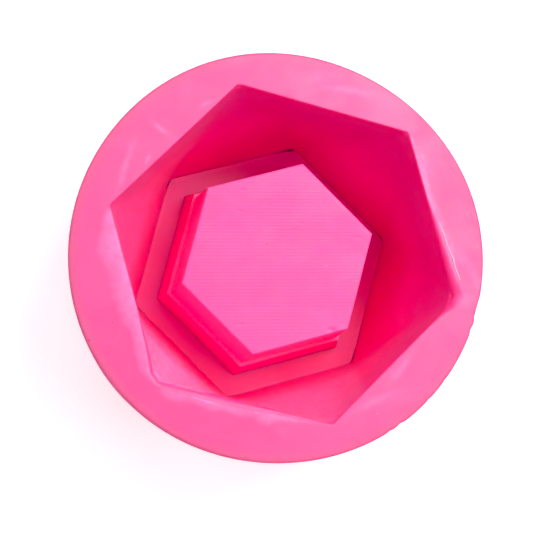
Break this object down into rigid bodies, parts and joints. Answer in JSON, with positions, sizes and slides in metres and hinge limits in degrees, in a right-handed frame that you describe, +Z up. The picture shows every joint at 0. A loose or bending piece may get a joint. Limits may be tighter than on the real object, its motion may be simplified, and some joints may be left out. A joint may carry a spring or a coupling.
{
  "type": "resin casting mould",
  "caption": "Round silicone casting mould with a six-sided mouth, triangular facets and a stepped six-sided core, for casting a faceted pot or candle holder upside down.",
  "frame": {"origin": "middle of the round underside", "axes": "+Z up through the mouth, +X towards the side of the body that the cavity is nearer to, where a flat side of the mouth and a corner of the core face outward"},
  "size_m": [0.107, 0.107, 0.06],
  "materials": {
    "silicone": "soft satin, slightly translucent silicone rubber"
  },
  "bodies": {
    "root": {"wall_ring": "silicone", "base_layer": "silicone", "core": "silicone"}
  },
  "joints": []
}
